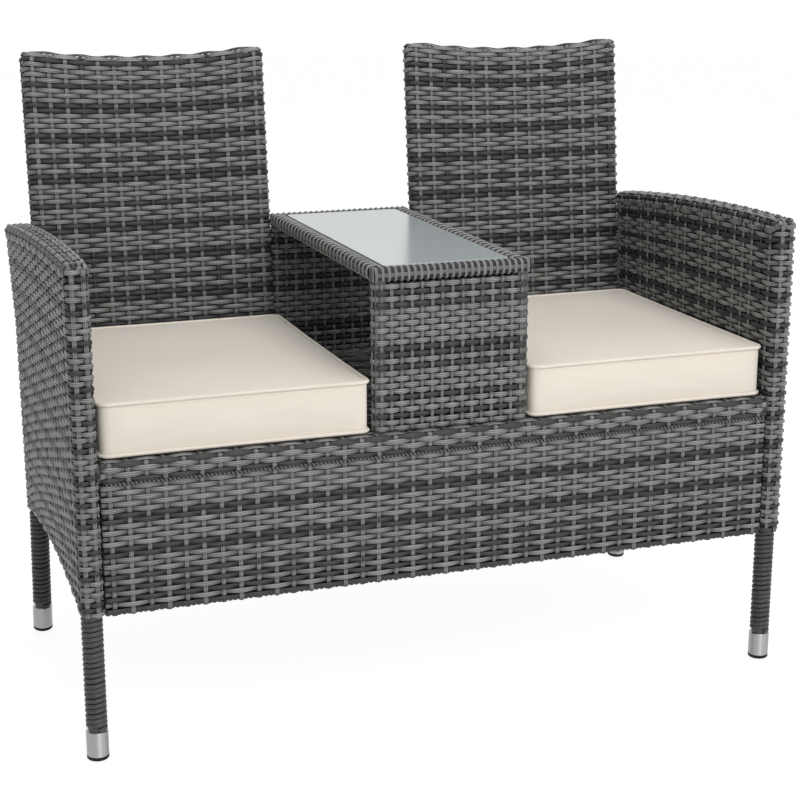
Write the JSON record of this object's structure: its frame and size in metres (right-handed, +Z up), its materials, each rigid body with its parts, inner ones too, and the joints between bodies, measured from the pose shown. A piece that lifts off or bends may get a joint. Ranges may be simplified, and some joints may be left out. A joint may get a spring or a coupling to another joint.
{
  "type": "garden bench",
  "caption": "Woven garden bench with high reclined backs, woven arms, loose seat cushions and a glass-topped table built in between the seats.",
  "frame": {"origin": "on the floor, under the middle of the bench", "axes": "+X to the right as seen from the front, +Y to the rear, +Z up"},
  "size_m": [1.0634, 0.5544, 0.9071],
  "materials": {
    "strand_grey": "ridged flat strands in mixed mid and dark grey, satin",
    "strand_dark": "ridged flat strand in dark grey, satin",
    "frame_paint": "matt dark powder coat",
    "cap_steel": "brushed",
    "foot_plastic": "moulded black",
    "cushion_fabric": "plain woven cream cover with piped edges",
    "frosted_glass": "frosted pale blue-grey",
    "pad_rubber": "soft black",
    "fastener_steel": "plain"
  },
  "bodies": {
    "bench": {"left_arm_weave": "strand_grey", "left_back_weave": "strand_grey", "right_arm_weave": "strand_grey", "right_back_weave": "strand_grey", "front_apron_weave": "strand_grey", "seat_front_band": "strand_grey", "seat_deck_weave": "strand_grey", "table_rim_wrap": "strand_grey", "table_front_weave": "strand_grey", "table_back_weave": "strand_grey", "left_front_leg_wrap": "strand_dark", "left_rear_leg_wrap": "strand_dark", "right_front_leg_wrap": "strand_dark", "right_rear_leg_wrap": "strand_dark", "left_front_leg": "frame_paint", "left_rear_leg": "frame_paint", "left_arm_tube": "frame_paint", "left_side_rod": "frame_paint", "left_back_frame": "frame_paint", "right_front_leg": "frame_paint", "right_rear_leg": "frame_paint", "right_arm_tube": "frame_paint", "right_side_rod": "frame_paint", "right_back_frame": "frame_paint", "front_seat_rail": "frame_paint", "rear_seat_rail": "frame_paint", "seat_cross_rails": "frame_paint", "table_bearers": "frame_paint", "apron_rod": "frame_paint", "leg_brackets": "frame_paint", "table_posts": "frame_paint", "table_ring": "frame_paint", "glass_bars": "frame_paint", "left_front_leg_cap": "cap_steel", "left_rear_leg_cap": "cap_steel", "right_front_leg_cap": "cap_steel", "right_rear_leg_cap": "cap_steel", "left_front_foot_plug": "foot_plastic", "left_rear_foot_plug": "foot_plastic", "right_front_foot_plug": "foot_plastic", "right_rear_foot_plug": "foot_plastic", "glass_pads": "pad_rubber", "leg_bolts": "fastener_steel", "bearer_bolts": "fastener_steel", "back_bolts": "fastener_steel", "bolt_washers": "fastener_steel", "insert_nuts": "fastener_steel"},
    "left_seat_cushion": {"left_cushion": "cushion_fabric"},
    "right_seat_cushion": {"right_cushion": "cushion_fabric"},
    "glass_pane": {"table_glass": "frosted_glass"}
  },
  "joints": [
    {"name": "left_cushion_lift", "type": "slide", "parent": "bench", "child": "left_seat_cushion", "axis": [0, 0, 1], "range_m": [0, 0.5]},
    {"name": "right_cushion_lift", "type": "slide", "parent": "bench", "child": "right_seat_cushion", "axis": [0, 0, 1], "range_m": [0, 0.5]},
    {"name": "glass_lift", "type": "slide", "parent": "bench", "child": "glass_pane", "axis": [0, 0, 1], "range_m": [0, 0.3]}
  ]
}
